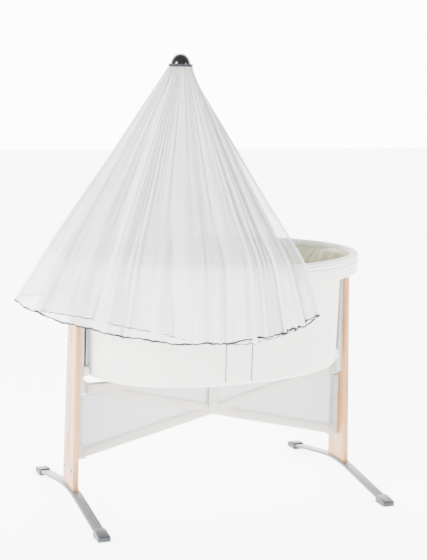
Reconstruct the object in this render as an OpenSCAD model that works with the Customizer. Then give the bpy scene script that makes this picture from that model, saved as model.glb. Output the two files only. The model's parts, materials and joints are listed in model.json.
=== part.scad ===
// Bassinet on a wooden stand: a fabric basket hung between two posts on sprung
// carriages, with a cross brace below and a cloth canopy on a mast behind.
// +X runs along the basket, +Y to the back (mast side), +Z up, floor at z = 0.

/* [Stand] */
// Distance from the middle to the foot of each post
post_x = 389; // [380:1:400]
// Inward lean of each post, in degrees
post_lean = 1.33; // [1.2:0.01:1.45]
// Thickness of a post
post_t = 14; // [14:0.5:16]
// Width of a post at its foot
post_w = 91.6; // [86:0.2:96]
// Width of a post at its top
post_top_w = 68; // [64:1:72]
// Height of the post's foot above the floor
post_z = 49; // [46:1:54]
// Height of the post's top above the floor
post_top = 604; // [600:1:606]
// Length of each foot bar over its caps
foot_len = 580; // [540:5:620]
// Width of the flat steel foot bar
bar_w = 26; // [22:1:30]
// Thickness of the flat steel foot bar
bar_t = 7; // [5:0.5:8]

/* [Brace] */
// Height of the upper brace ends above the floor
brace_high = 308; // [300:1:312]
// Height of the lower brace ends above the floor
brace_low = 136; // [130:1:150]
// Width of a brace bar
strut_w = 20; // [16:1:22]
// Width of the webbing over a brace bar
band_w = 27; // [24:1:30]

/* [Basket] */
// Half length of the rim hoop, on its centre line
rim_a = 386; // [384:0.5:388]
// Half width of the rim hoop, on its centre line
rim_b = 273; // [270:0.5:276]
// Height of the rim hoop's centre above the floor
rim_z = 636.5; // [636:0.5:638]
// Radius of the rim hoop's tube
hoop_r = 8; // [7:0.5:8.5]
// Radius of the padded roll round the rim hoop
roll_r = 11.5; // [11:0.5:12]
// Half length of the fabric wall below the rim
wall_a = 349; // [347:0.5:350]
// Half width of the fabric wall below the rim
wall_b = 252; // [248:0.5:256]
// How far the wall tapers in from its top to its floor
wall_taper = 5; // [3:1:12]
// Height of the basket's underside above the floor
floor_z = 350; // [346:1:352]
// Thickness of the mattress
mattress_t = 42; // [30:1:50]

/* [Suspension] */
// Height of the swing pivots above the floor
pivot_z = 566; // [562:1:568]
// Radius of the swing pivot pins
pin_r = 3; // [2.5:0.5:3.5]
// Travel of a carriage up or down from rest
bounce = 8; // [4:1:8]
// Outer radius of a suspension spring
spring_r = 4.3; // [4:0.1:4.4]

/* [Canopy] */
// Distance of the mast behind the middle of the basket
mast_y = 302; // [301:0.5:303]
// Radius of the lower mast tube
mast_r = 8; // [7:0.5:9]
// Radius of the upper mast rod
rod_r = 6; // [5:0.5:6.5]
// Distance of the canopy's top behind the middle of the basket
dome_y = 272; // [268:1:276]
// Height of the dome's base above the floor
dome_z = 1126; // [1100:2:1150]
// Radius of the dome
dome_r = 28; // [25:0.5:30]
// Height of the dome
dome_h = 30; // [25:1:35]
// Radius of the ring that the canopy cloth is gathered on
ring_r = 31; // [29:0.5:33]
// Thickness of the canopy's cloth shell
cloth_t = 1.6; // [1.2:0.1:2]

/* [Hidden] */
$fn = 64;
fit = 0.05;                       // running clearance of pins and tubes
gap = 0.2;                        // gap between pieces that lie on each other
big = 400;
in_x = post_x - post_t / 2;       // inner face of a post at its foot
spring_x = 369.6;                 // middle of the carriage and its spring
face_x = 362.7;                   // housing's face towards the basket
house_x = 378;                    // housing's far side, cut back to the post
house_wall = 1.6;
house_w = 54;
house_low = 303;
house_top = 590;
pocket_w = 29;
pocket_low = 455;
pocket_x = 375.2;
carriage_w = 22;
carriage_h = 40;
carriage_t = 9.9;
slot_w = 22.6;                    // channel that the carriage runs in
seat_low = 458;
seat_h = 8;
hang_x = 351.4;                   // hanger plate, inner face
hang_t = 2.5;
hang_top = 632;
lug_z = 626;
hoop2_r = 5;                      // bottom hoop tube
hoop2_in = 27;
hoop2_z = floor_z + 12;
wall_top = 622;
edge_r = 8;                       // rounding round the bag's bottom edge
skirt_low = 596;
board_t = 4;
clamp_w = 36;
clamp_low = 598;
clamp_top = 658;
knob_z = 616;
lower_mast_low = 570;
lower_mast_top = 880;
bend_z = 1040;
bolt_y = 28;                      // foot bolts either side of a post's middle
mark_high = 306;                  // brace screws on the posts
mark_low = 132;
groove_w = 2.4;                   // routed line between the screw caps
groove_d = 0.9;
web_y = 11.2;                     // front face of the webbing
screw_z = [334, 432];             // housing screws
stop_low = 344;                   // swing stops beside the hanger's foot
stop_top = 368;
rivet_z = 620;                    // rivets between a hanger and the hoop's lug
liner_low = 376;
ring_n = 72;                      // steps round a rim piece

// canopy stations from the front right edge round the left to the back:
// [angle round the collar, shoulder x, y, z, hem x, y, z]
canopy_path = [
  [-20, 124, -279, 646, 164, -278, 520],
  [-40, 62, -293, 653, 102, -297, 497],
  [-60, -15, -300, 655, 0, -306, 480],
  [-82, -118, -292, 655, -120, -302, 472],
  [-105, -228, -254, 655, -248, -276, 478],
  [-130, -330, -180, 652, -378, -206, 497],
  [-155, -405, -80, 652, -472, -98, 515],
  [-182, -432, 30, 652, -512, 20, 528],
  [-208, -405, 142, 652, -482, 148, 520],
  [-234, -312, 250, 652, -366, 272, 504],
  [-256, -172, 325, 652, -196, 345, 494],
  [-276, -20, 352, 652, -22, 366, 490],
  [-298, 120, 330, 652, 134, 344, 494]
];
cloth_rows = 10;
cloth_cols = 36;

// ---- shared shapes -------------------------------------------------------

function side_d(a, b, c) = (c * c - pow(b - a + c, 2)) / (2 * (b - a + c));
function end_c(a, b) = a - 1.1 * b * b / a;

// a closed ring of four arcs: the child profile is drawn at x = 0 on the oval
module oval_sweep(a, b) {
  c = end_c(a, b);
  d = side_d(a, b, c);
  t = atan2(d, c);
  for (s = [0, 180]) rotate([0, 0, s]) {
    translate([c, 0, 0]) rotate([0, 0, -t])
      rotate_extrude(angle = 2 * t) translate([a - c, 0]) children();
    translate([0, -d, 0]) rotate([0, 0, t])
      rotate_extrude(angle = 180 - 2 * t) translate([b + d, 0]) children();
  }
}

// the same oval as a flat outline, grown by g
module oval(a, b, g = 0) {
  c = end_c(a, b);
  d = side_d(a, b, c);
  t = atan2(d, c);
  intersection() {
    translate([0, -d]) circle(b + d + g);
    translate([0, d]) circle(b + d + g);
    square([2 * (c + (a - c + g) * cos(t)), 4 * b], center = true);
  }
  for (s = [-1, 1]) translate([s * c, 0]) circle(a - c + g);
}

// the same ring round a true ellipse, from a list of profile points
module ellipse_ring(a, b, pts) {
  n = ring_n;
  m = len(pts);
  polyhedron(
    points = [for (i = [0:n - 1], p = pts) let (
      q = 360 * i / n,
      nx = cos(q) / a, ny = sin(q) / b, l = norm([nx, ny]))
      [a * cos(q) + p[0] * nx / l, b * sin(q) + p[0] * ny / l, p[1]]],
    faces = [for (i = [0:n - 1], k = [0:m - 1], f = [0, 1]) let (
      j = (i + 1) % n, l = (k + 1) % m)
      f == 0 ? [i * m + k, j * m + l, j * m + k] : [i * m + k, i * m + l, j * m + l]]);
}

// the same for the lining: rows marked 1 are measured from the rim's oval, the others from the wall's
module flanged_ring(pts) {
  n = ring_n;
  m = len(pts);
  polyhedron(
    points = [for (i = [0:n - 1], p = pts) let (
      a = p[0] == 1 ? rim_a : wall_a, b = p[0] == 1 ? rim_b : wall_b,
      q = 360 * i / n,
      nx = cos(q) / a, ny = sin(q) / b, l = norm([nx, ny]))
      [a * cos(q) + p[1] * nx / l, b * sin(q) + p[1] * ny / l, p[2]]],
    faces = [for (i = [0:n - 1], k = [0:m - 1], f = [0, 1]) let (
      j = (i + 1) % n, l = (k + 1) % m)
      f == 0 ? [i * m + k, j * m + l, j * m + k] : [i * m + k, i * m + l, j * m + l]]);
}

function disc(x, z, r, m) = [for (k = [0:m - 1]) [x + r * cos(360 * k / m), z + r * sin(360 * k / m)]];

module left() { mirror([1, 0, 0]) children(); }

module box(lo, hi) { translate(lo) cube(hi - lo); }

// a round bar along +X from x0 to x1
module bar_x(x0, x1, y, z, r) {
  translate([x0, y, z]) rotate([0, 90, 0]) cylinder(r = r, h = x1 - x0);
}

function wall_in(z) = wall_taper * (skirt_low - z) / (skirt_low - floor_z);

// ---- stand ---------------------------------------------------------------

bar_end = foot_len / 2 - 6;
arc_half = 80;                    // the curved middle of a foot bar
leg_tan = (post_z - bar_t - 2) / (bar_end - arc_half / 2);
leg_q = atan(leg_tan);
arch_r = arc_half / sin(leg_q);

// side outline of a foot bar: an arc in the middle and two straight legs
function bar_line(drop) = let (c = post_z - arch_r) concat(
  [[-bar_end - 20, post_z - arch_r * (1 - cos(leg_q)) - (bar_end + 20 - arc_half) * leg_tan - drop]],
  [for (i = [-6:6]) let (q = leg_q * i / 6)
    [(arch_r - drop) * sin(q), c + (arch_r - drop) * cos(q)]],
  [[bar_end + 20, post_z - arch_r * (1 - cos(leg_q)) - (bar_end + 20 - arc_half) * leg_tan - drop]]);
function reverse(v) = [for (i = [len(v) - 1:-1:0]) v[i]];
module bar_outline(grow) polygon(concat(bar_line(-grow), reverse(bar_line(bar_t + grow))));

// upright slab of the post, before its bottom is fitted to the bar
module post_blank(grow = 0) {
  translate([post_x, 0, post_z]) rotate([0, -post_lean, 0])
    rotate([90, 0, 90]) translate([0, 0, -post_t / 2 - grow])
      linear_extrude(post_t + 2 * grow) polygon([
        [-post_w / 2, -4], [post_w / 2, -4],
        [post_top_w / 2, post_top - post_z - 6], [post_top_w / 2 - 6, post_top - post_z],
        [-post_top_w / 2 + 6, post_top - post_z], [-post_top_w / 2, post_top - post_z - 6]]);
}

// the space taken by a foot bar, w wide
module bar_solid(w, grow = 0) {
  translate([post_x - w / 2, 0, 0]) rotate([90, 0, 90]) linear_extrude(w) bar_outline(grow);
}

module post() color("burlywood") difference() {
  post_blank();
  bar_solid(120);
  box([in_x - 30, -pocket_w / 2, pocket_low], [pocket_x, pocket_w / 2, house_top + 2]);
  for (y = [-bolt_y, bolt_y]) {
    translate([post_x - 0.6, y, post_z - 20]) cylinder(r = 3.02, h = 90);
    bar_x(post_x - 6.6, post_x + 20, y, post_z + 48, 5.02);
  }
  for (z = [mark_low, mark_high]) {
    bar_x(in_x - 20, post_x + 20, 0, z, 2.52);
    cap_pocket(z, gap / 4);
  }
  for (z = screw_z) bar_x(in_x - 20, post_x + 2, 0, z, 2.02);
  translate([post_x, 0, post_z]) rotate([0, -post_lean, 0])
    box([post_t / 2 - groove_d, -groove_w / 2, mark_low + 17 - post_z],
        [post_t / 2 + 5, groove_w / 2, mark_high - 13 - post_z]);
}

// oval recess for a screw cap in the post's outer face
module cap_pocket(z, grow) {
  x = post_x - tan(post_lean) * (z - post_z) + post_t / 2;
  for (dz = [-7, 7]) bar_x(x - 3, x + 6, 0, z + dz, 4.5 + grow);
  box([x - 3, -4.5 - grow, z - 7], [x + 6, 4.5 + grow, z + 7]);
}

module foot_bar() color("silver") difference() {
  bar_solid(bar_w);
  for (k = [-1, 1]) translate([post_x, k * (bar_end + 100), 0]) cube([99, 200, 99], center = true);
  for (y = [-bolt_y, bolt_y]) translate([post_x - 0.6, y, 0]) cylinder(r = 3.02, h = 80);
}

// one shoe on the end of a foot bar, +Y end
module foot_cap() color("slategray") difference() {
  hull() {
    translate([post_x - bar_w / 2 - 3, foot_len / 2 - 46, 0])
      linear_extrude(10) offset(r = 2) offset(delta = -2) square([bar_w + 6, 46]);
    translate([post_x - bar_w / 2 - 1.5, foot_len / 2 - 45, 16])
      linear_extrude(3) square([bar_w + 3, 14]);
    translate([post_x - bar_w / 2 - 1.5, foot_len / 2 - 5, 12]) linear_extrude(1.5) square([bar_w + 3, 3.5]);
  }
  intersection() {
    bar_solid(bar_w + 2 * fit, fit);
    translate([post_x - 30, 0, -fit]) cube([60, bar_end + fit, 60]);
  }
}

module foot_bolt(y) {
  translate([post_x - 0.6, y, post_z - bar_t - 5]) {
    cylinder(r = 3, h = 62);
    cylinder(r = 5, h = 4 - gap);
  }
}

module foot_bolts() color("dimgray")
  for (y = [-bolt_y, bolt_y]) { foot_bolt(y); left() foot_bolt(y); }

module barrel_nut(y) difference() {
  bar_x(post_x - 6.4, post_x + 4, y, post_z + 48, 5);
  translate([post_x - 0.6, y, post_z + 30]) cylinder(r = 3.02, h = 40);
}

module barrel_nuts() color("gainsboro")
  for (y = [-bolt_y, bolt_y]) { barrel_nut(y); left() barrel_nut(y); }

// ---- brace ---------------------------------------------------------------

brace_x = in_x - 24;              // brace pins, half distance
brace_tilt = atan2(brace_high - brace_low, 2 * brace_x);
brace_len = 2 * norm([brace_x, (brace_high - brace_low) / 2]);
brace_z = (brace_high + brace_low) / 2;

// a flat bar rising to the left, with its holes
module strut(y0) {
  translate([0, y0, brace_z]) rotate([0, brace_tilt, 0]) difference() {
    rotate([-90, 0, 0]) linear_extrude(3.6) {
      square([brace_len, strut_w], center = true);
      for (s = [-1, 1]) translate([s * brace_len / 2, 0]) circle(strut_w / 2);
    }
    for (x = [-brace_len / 2, 0, brace_len / 2]) translate([x, -1, 0])
      rotate([-90, 0, 0]) cylinder(r = 3.02, h = 6);
  }
}

module brace_strut_front() color("darkgray") strut(-4);
module brace_strut_rear() color("darkgray") left() strut(0.4);

module brace_rivet() color("dimgray") translate([0, -5, brace_z]) rotate([-90, 0, 0]) {
  cylinder(r = 3, h = 10);
  cylinder(r = 4.6, h = 0.9);
  translate([0, 0, 9.2]) cylinder(r = 4.6, h = 0.8);
}

// forked block on the post's inner face; the brace bar's end sits in its fork
module bracket(z, y0) {
  color("gainsboro") difference() {
    box([brace_x - 8, -8, z - 16], [post_x, 8, z + 16]);
    post_blank(fit);
    box([brace_x - 20, y0 - gap, z - 30], [brace_x + 11, y0 + 3.6 + gap, z + 30]);
    translate([brace_x, -20, z]) rotate([-90, 0, 0]) cylinder(r = 2.52, h = 50);
    bar_x(brace_x + 11, post_x + 20, 0, z > brace_z ? mark_high : mark_low, 2.52);
  }
  color("dimgray") translate([brace_x, -7.9, z]) rotate([-90, 0, 0]) cylinder(r = 2.5, h = 15.8);
}

module brace_screw(z) {
  bar_x(brace_x + 12, post_x + 4 - tan(post_lean) * (z - post_z), 0, z, 2.5);
}

module bracket_screws() color("dimgray")
  for (z = [mark_low, mark_high]) { brace_screw(z); left() brace_screw(z); }

module screw_cap(z) {
  x = post_x - tan(post_lean) * (z - post_z) + post_t / 2;
  for (dz = [-7, 7]) bar_x(x - 2.8, x + 0.6, 0, z + dz, 4.5 - gap);
  box([x - 2.8, -4.5 + gap, z - 7], [x + 0.6, 4.5 - gap, z + 7]);
}

module screw_caps() color("wheat")
  for (z = [mark_low, mark_high]) { screw_cap(z); left() screw_cap(z); }

// outline of the panel below the basket: the arms of the X and the space above
panel_x = in_x - 2.6;
function strut_z(x) = brace_z + x * (brace_high - brace_low) / (2 * brace_x);

module panel_outline(g) {
  low = band_w / 2 - g;
  polygon([
    [-panel_x + g, strut_z(-panel_x) - low], [0, brace_z - low], [panel_x - g, strut_z(-panel_x) - low],
    [panel_x - g - 5, strut_z(panel_x) + 8 - g], [-panel_x + g + 5, strut_z(panel_x) + 8 - g]]);
}

module upright(y0, t) translate([0, y0 + t, 0]) rotate([90, 0, 0]) linear_extrude(t) children();

module panel_slots() {
  // the upper brackets show through a cut-out in each top corner
  for (s = [-1, 1]) translate([s * (panel_x - 10), brace_high + 2]) square([40, 37], center = true);
}

module stand_mesh() color("lavender", 0.6) upright(-9.6, 1.2) difference() {
  panel_outline(1);
  panel_slots();
  translate([0, brace_z]) circle(5.2);
}

module band(s) {
  translate([0, brace_z]) rotate(s * brace_tilt) square([2 * brace_x + 70, band_w], center = true);
}

module webbing_flat() difference() {
  intersection() {
    panel_outline(0);
    union() {
      band(1);
      band(-1);
      translate([-12, brace_z]) square([24, 200]);
      translate([-big, strut_z(panel_x) - 8]) square([2 * big, 40]);
      for (s = [-1, 1]) translate([s * (panel_x - 5), brace_z]) square([18, 300], center = true);
    }
  }
  panel_slots();
}

module panel_webbing() color("antiquewhite") {
  upright(-web_y, 1.4) webbing_flat();
  upright(8.4, 1.4) webbing_flat();
}

// ---- suspension ----------------------------------------------------------

module housing() color("white") difference() {
  box([face_x, -house_w / 2, house_low], [house_x, house_w / 2, house_top]);
  post_blank(fit);
  box([face_x + house_wall, -slot_w / 2, pocket_low + 1], [post_x + 20, slot_w / 2, house_top - 1.6]);
  box([face_x - 1, -pin_r - 0.4, pivot_z - bounce - pin_r - 0.5],
      [face_x + 5, pin_r + 0.4, pivot_z + bounce + pin_r + 0.5]);
  for (y = [-1, 1]) box([face_x + house_wall, y > 0 ? slot_w / 2 + 2 : -house_w / 2 + 2, house_low + 2],
      [post_x + 20, y > 0 ? house_w / 2 - 2 : -slot_w / 2 - 2, house_top - 2]);
  box([face_x + house_wall, -slot_w / 2, 344], [post_x + 20, slot_w / 2, 418]);
  box([face_x - 1, -10, house_low - 1], [post_x + 20, 10, brace_high + 17]);
  for (z = screw_z) {
    bar_x(face_x - 1, post_x + 2, 0, z, 2.02);
    bar_x(face_x - 1, face_x + 2.5, 0, z, 4.1);
  }
  // notch in the front and back edges for the swing stop
  for (s = [-1, 1]) box([face_x - 1, s * house_w / 2 - 3, stop_low - 1],
    [face_x + 3, s * house_w / 2 + 3, stop_top + 1]);
}

module housing_screw(z) {
  bar_x(face_x + 0.1, face_x + 2.5 - gap / 4, 0, z, 4);
  bar_x(face_x + 0.1, post_x, 0, z, 2);
}

module housing_screws() color("silver")
  for (z = screw_z) { housing_screw(z); left() housing_screw(z); }

module spring_seat() color("dimgray") {
  box([spring_x - 4.9, -slot_w / 2 + gap, seat_low], [spring_x + 4.9, slot_w / 2 - gap, seat_low + seat_h]);
  translate([spring_x, 0, seat_low + seat_h]) cylinder(r = 2.6, h = 9);
}

carriage_low = pivot_z - 26;
coil_low = seat_low + seat_h;
coil_h = carriage_low - coil_low;
coil_n = 9;
wire_r = 0.65;
coil_seg = 9;

// one polyhedron swept along the helix, closed at both ends
module spring() color("slategray") {
  mid_r = spring_r - wire_r;
  n = coil_n * coil_seg;
  ring = [for (i = [0:n], k = [0:4]) let (
    t = i / coil_seg * 360,
    q = k * 72,
    r = mid_r + wire_r * cos(q))
    [spring_x + r * cos(t), r * sin(t),
     coil_low + wire_r + 0.1 + (coil_h - 2 * wire_r - 0.2) * i / n + wire_r * sin(q)]];
  polyhedron(points = ring, faces = concat(
    [[4, 3, 2, 1, 0]],
    [for (i = [0:n - 1], k = [0:4], f = [0, 1]) let (l = (k + 1) % 5)
      f == 0 ? [i * 5 + k, i * 5 + l, (i + 1) * 5 + l] : [i * 5 + k, (i + 1) * 5 + l, (i + 1) * 5 + k]],
    [[for (k = [0:4]) n * 5 + k]]));
}

module swing_stop() color("white") for (s = [-1, 1]) {
  y0 = s > 0 ? house_w / 2 - 3 + gap : -house_w / 2 - 3;
  box([hang_x - 0.6, y0, stop_low], [face_x + 3 - gap, y0 + 6 - gap, stop_top]);
}

module carriage() color("gray") difference() {
  box([spring_x - carriage_t / 2, -carriage_w / 2, carriage_low],
      [spring_x + carriage_t / 2, carriage_w / 2, carriage_low + carriage_h]);
  bar_x(spring_x - 10, spring_x + 10, 0, pivot_z, pin_r + 0.02);
  bar_x(spring_x + carriage_t / 2 - 2, spring_x + 10, 0, pivot_z, 5.05);
  translate([spring_x, 0, carriage_low - 1]) cylinder(r = 2.6, h = 8);
}

// pin pressed into the carriage, with the clip that keeps the hanger on it
module pivot_pin() color("dimgray") {
  pin_clip();
  bar_x(hang_x - 1.6, spring_x + carriage_t / 2 - 0.1, 0, pivot_z, pin_r);
  bar_x(spring_x + carriage_t / 2 - 1.9, spring_x + carriage_t / 2 - 0.1, 0, pivot_z, 5);
}

module pin_clip() difference() {
  bar_x(hang_x - 1.1, hang_x - 0.35, 0, pivot_z, 5);
  bar_x(hang_x - 2, hang_x, 0, pivot_z, pin_r + 0.02);
}

// ---- basket --------------------------------------------------------------

// plate that carries the basket's end, hung on the pivot pin
module hanger() color([0.22, 0.18, 0.16]) difference() {
  translate([hang_x, 0, 0]) rotate([90, 0, 90]) linear_extrude(hang_t) difference() {
    polygon(concat([[14, pivot_z], [12, hang_top], [-12, hang_top], [-14, pivot_z]],
      [for (q = [180:20:360]) [6 * cos(q), hoop2_z + 6 * sin(q)]]));
    for (y = [-7, 7]) translate([y, rivet_z]) circle(2.02);
  }
  bar_x(hang_x - 1, hang_x + 5, 0, pivot_z, 4.55);
  bar_x(hang_x - 1, hang_x + 5, 0, hoop2_z, 2.52);
}

module pivot_bush() difference() {
  bar_x(hang_x + 0.02, hang_x + hang_t - 0.02, 0, pivot_z, 4.5);
  bar_x(hang_x - 2, hang_x + 5, 0, pivot_z, pin_r + fit);
}

module pivot_bushes() color("ivory") { pivot_bush(); left() pivot_bush(); }

// rivet through the hanger and the hoop's lug
module hanger_rivet(y) {
  bar_x(hang_x - 0.9, hang_x + hang_t + 4, y, rivet_z, 2);
  bar_x(hang_x - 0.9, hang_x - 0.1, y, rivet_z, 3.4);
  bar_x(hang_x + hang_t + 3.2, hang_x + hang_t + 4, y, rivet_z, 3.4);
}

module hanger_rivets() color("dimgray")
  for (y = [-7, 7]) { hanger_rivet(y); left() hanger_rivet(y); }

module hanger_bolt() {
  bar_x(wall_a - hoop2_in - 8, hang_x + hang_t - 0.1, 0, hoop2_z, 2.5);
  bar_x(wall_a - hoop2_in - 9, wall_a - hoop2_in - 5.2, 0, hoop2_z, 4.2);
}

module hanger_bolts() color("dimgray") { hanger_bolt(); left() hanger_bolt(); }

module hanger_spacer() difference() {
  bar_x(wall_a - wall_in(hoop2_z) + 0.6, hang_x - 0.1, 0, hoop2_z, 5);
  bar_x(200, 400, 0, hoop2_z, 2.55);
}

module hanger_spacers() color("dimgray") { hanger_spacer(); left() hanger_spacer(); }

// L-shaped lug between the hoop's tube and a hanger
module hoop_lug() difference() {
  union() {
    box([hang_x + hang_t + 0.1, -10, lug_z], [rim_a - 6, 10, lug_z + 6]);
    box([hang_x + hang_t + 0.1, -12, 613.5], [hang_x + hang_t + 3.1, 12, lug_z + 6]);
  }
  for (y = [-7, 7]) bar_x(hang_x, hang_x + 20, y, rivet_z, 2.02);
}

module rim_hoop() color("silver") {
  ellipse_ring(rim_a, rim_b, disc(0, rim_z, hoop_r, 8));
  hoop_lug();
  left() hoop_lug();
}

module bottom_hoop() color("silver") difference() {
  ellipse_ring(wall_a, wall_b, disc(-hoop2_in, hoop2_z, hoop2_r, 8));
  for (s = [0, 180]) rotate([0, 0, s]) bar_x(200, 400, 0, hoop2_z, 2.52);
}

module base_board() color("tan") translate([0, 0, floor_z + 2 + gap])
  linear_extrude(board_t) oval(wall_a, wall_b, -31);

mattress_low = floor_z + 2 + gap + board_t + gap;
mattress_top = mattress_low + mattress_t;

module mattress() color("whitesmoke") translate([0, 0, mattress_low])
  linear_extrude(mattress_t) oval(wall_a, wall_b, -37);

module mattress_sheet() color("white") difference() {
  translate([0, 0, mattress_low + 11]) linear_extrude(mattress_t - 11 + 1) oval(wall_a, wall_b, -36);
  translate([0, 0, mattress_low]) linear_extrude(mattress_t + gap / 2) oval(wall_a, wall_b, -37 + gap / 2);
}

// closed bag: the inner and outer side rows, each listed counter-clockwise, and a floor
module bag(a, b, inner, outer, low, high) {
  n = ring_n;
  side = concat(inner, outer);
  m = len(side);
  f = len(inner);
  polyhedron(
    points = concat([for (i = [0:n - 1], p = side) let (
      q = 360 * i / n,
      nx = cos(q) / a, ny = sin(q) / b, l = norm([nx, ny]))
      [a * cos(q) + p[0] * nx / l, b * sin(q) + p[0] * ny / l, p[1]]], [[0, 0, high], [0, 0, low]]),
    faces = concat(
      [for (i = [0:n - 1], k = [0:m - 1], h = [0, 1]) let (j = (i + 1) % n, l = (k + 1) % m)
        if (k != f - 1) h == 0 ? [i * m + k, j * m + l, j * m + k] : [i * m + k, i * m + l, j * m + l]],
      [for (i = [0:n - 1]) let (j = (i + 1) % n) [i * m + f - 1, n * m, j * m + f - 1]],
      [for (i = [0:n - 1]) let (j = (i + 1) % n) [n * m + 1, i * m + f, j * m + f]]));
}

// fabric bag: near upright wall, rounded bottom edge and floor
module basket_wall() color("white") difference() {
  bag(wall_a, wall_b,
    concat([[-2, wall_top], [-2, skirt_low]],
      [for (q = [0:30:90]) [-wall_taper - edge_r + (edge_r - 2) * cos(q), floor_z + edge_r - (edge_r - 2) * sin(q)]]),
    concat([for (q = [90:-30:0]) [-wall_taper - edge_r + edge_r * cos(q), floor_z + edge_r - edge_r * sin(q)]],
      [[0, skirt_low], [0, wall_top]]),
    floor_z, floor_z + 2);
  for (s = [0, 180]) rotate([0, 0, s]) bar_x(200, 400, 0, hoop2_z, 3.2);
}

// padded lining, from the rim down to beside the mattress
module basket_liner() color([0.87, 0.87, 0.81]) difference() {
  flanged_ring([
    [0, -11.5, 635.4], [0, -12, skirt_low], [0, -11 - wall_in(liner_low), liner_low],
    [0, -7 - wall_in(liner_low), liner_low], [0, -7, skirt_low], [0, -6.5, 633.4],
    [1, -roll_r - 0.5, 634.6], [1, -roll_r - 0.5, 636.4]]);
  box([-clamp_w / 2 - 0.6, rim_b - roll_r - 6.6, wall_top], [clamp_w / 2 + 0.6, rim_b, rim_z + 8]);
}

module rim_notches() {
  for (s = [0, 180]) rotate([0, 0, s])
    box([rim_a - 30, -12.6, rim_z - 30], [rim_a - 5, 12.6, lug_z + 6.4]);
}

module rim_roll() color("white") difference() {
  ellipse_ring(rim_a, rim_b, disc(0, rim_z, roll_r, 10));
  ellipse_ring(rim_a, rim_b, disc(0, rim_z, hoop_r + 0.6, 8));
  rim_notches();
}

// band that hangs from the roll and hides the tops of the posts
module rim_skirt() color("white")
  ellipse_ring(rim_a, rim_b, [
    [9.8, rim_z - 8], [7.8, rim_z - 9.6], [6.2, skirt_low], [8.2, skirt_low]]);

// two seams with a plain strip between them on the front of the wall
strip_x = -31;
strip_w = 68;
strip_low = floor_z + 14;
module front_strip() color("gray") intersection() {
  oval_sweep(wall_a, wall_b) polygon([
    [2, skirt_low - 2], [2 - wall_in(strip_low), strip_low],
    [1 - wall_in(strip_low), strip_low], [1, skirt_low - 2]]);
  for (s = [-1, 1]) box([strip_x + s * strip_w / 2 - 1, -big, floor_z],
    [strip_x + s * strip_w / 2 + 1, 0, skirt_low]);
}

// ---- mast and canopy -----------------------------------------------------

module clamp() color("slategray") difference() {
  union() {
    box([-clamp_w / 2, rim_b + roll_r + 1.5, clamp_low], [clamp_w / 2, mast_y, clamp_top]);
    translate([0, mast_y, clamp_low]) cylinder(r = clamp_w / 2, h = clamp_top - clamp_low);
    box([-clamp_w / 2, rim_b - roll_r - 6, rim_z + roll_r + 2], [clamp_w / 2, mast_y, clamp_top]);
    box([-clamp_w / 2, rim_b - roll_r - 6, rim_z - 8], [clamp_w / 2, rim_b - roll_r - 2, clamp_top]);
  }
  translate([0, mast_y, clamp_low - 1]) cylinder(r = mast_r + fit, h = 100);
  translate([0, mast_y, knob_z]) rotate([-90, 0, 0]) cylinder(r = 3.05, h = 60);
}

module clamp_knob() color("slategray") translate([0, mast_y, knob_z]) rotate([-90, 0, 0]) {
  translate([0, 0, mast_r + 0.6]) cylinder(r = 3, h = clamp_w / 2 - mast_r + 4);
  translate([0, 0, clamp_w / 2 + 0.6]) cylinder(r = 6, h = 3);
  translate([0, 0, clamp_w / 2 + 3.4]) linear_extrude(8) difference() {
    circle(12);
    for (q = [0:60:300]) rotate(q) translate([13.4, 0]) circle(3.2, $fn = 24);
  }
}

module mast_lower() color("lightgray") translate([0, mast_y, 0]) difference() {
  translate([0, 0, lower_mast_low]) cylinder(r = mast_r, h = lower_mast_top - lower_mast_low);
  translate([0, 0, lower_mast_low - 1]) cylinder(r = rod_r + fit, h = big);
}

module mast_ferrule() color("slategray") translate([0, mast_y, lower_mast_top - 8]) difference() {
  cylinder(r = mast_r + 2, h = 30);
  translate([0, 0, -1]) cylinder(r = mast_r + 0.02, h = 9.1);
  cylinder(r = rod_r + 0.02, h = 40);
}

// rod with two equal bends that carry its top forward under the dome
bend_run = mast_y - dome_y;
bend_q = 50;
bend_r = bend_run / (2 * (1 - cos(bend_q)));
bend_rise = 2 * bend_r * sin(bend_q);
bend_n = 6;
function bend_path() = concat(
  [[mast_y, lower_mast_top - 70]],
  [for (i = [0:bend_n]) let (q = bend_q * i / bend_n)
    [mast_y - bend_r + bend_r * cos(q), bend_z + bend_r * sin(q)]],
  [for (i = [1:bend_n]) let (q = bend_q * (1 - i / bend_n))
    [dome_y + bend_r - bend_r * cos(q), bend_z + bend_rise - bend_r * sin(q)]],
  [[dome_y, dome_z - 0.4]]);
function bend_turn(i) = i == 0 || i == 2 * bend_n + 2 ? 0
  : bend_q * (i - 1 <= bend_n ? (i - 1) / bend_n : 2 - (i - 1) / bend_n);
module mast_upper() color("lightgray") {
  path = bend_path();
  n = len(path);
  m = 16;
  polyhedron(
    points = [for (i = [0:n - 1], k = [0:m - 1]) let (q = bend_turn(i), a = 360 * k / m)
      [rod_r * cos(a), path[i][0] + rod_r * sin(a) * cos(q), path[i][1] + rod_r * sin(a) * sin(q)]],
    faces = concat([[for (k = [m - 1:-1:0]) k]], [[for (k = [0:m - 1]) (n - 1) * m + k]],
      [for (i = [0:n - 2], k = [0:m - 1], f = [0, 1]) let (l = (k + 1) % m)
        f == 0 ? [i * m + k, i * m + l, (i + 1) * m + l] : [i * m + k, (i + 1) * m + l, (i + 1) * m + k]]));
}

module canopy_ring() color("slategray") translate([0, dome_y, dome_z - 8]) difference() {
  union() {
    rotate_extrude() translate([ring_r - 2.2, 3]) circle(2.2);
    cylinder(r = rod_r + 3, h = 7.6);
    for (q = [0:60:300]) rotate([0, 0, q + 30]) translate([0, -1.5, 1.5]) cube([ring_r - 3, 3, 3]);
  }
  translate([0, 0, -1]) cylinder(r = rod_r + 0.02, h = 20);
}

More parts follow.
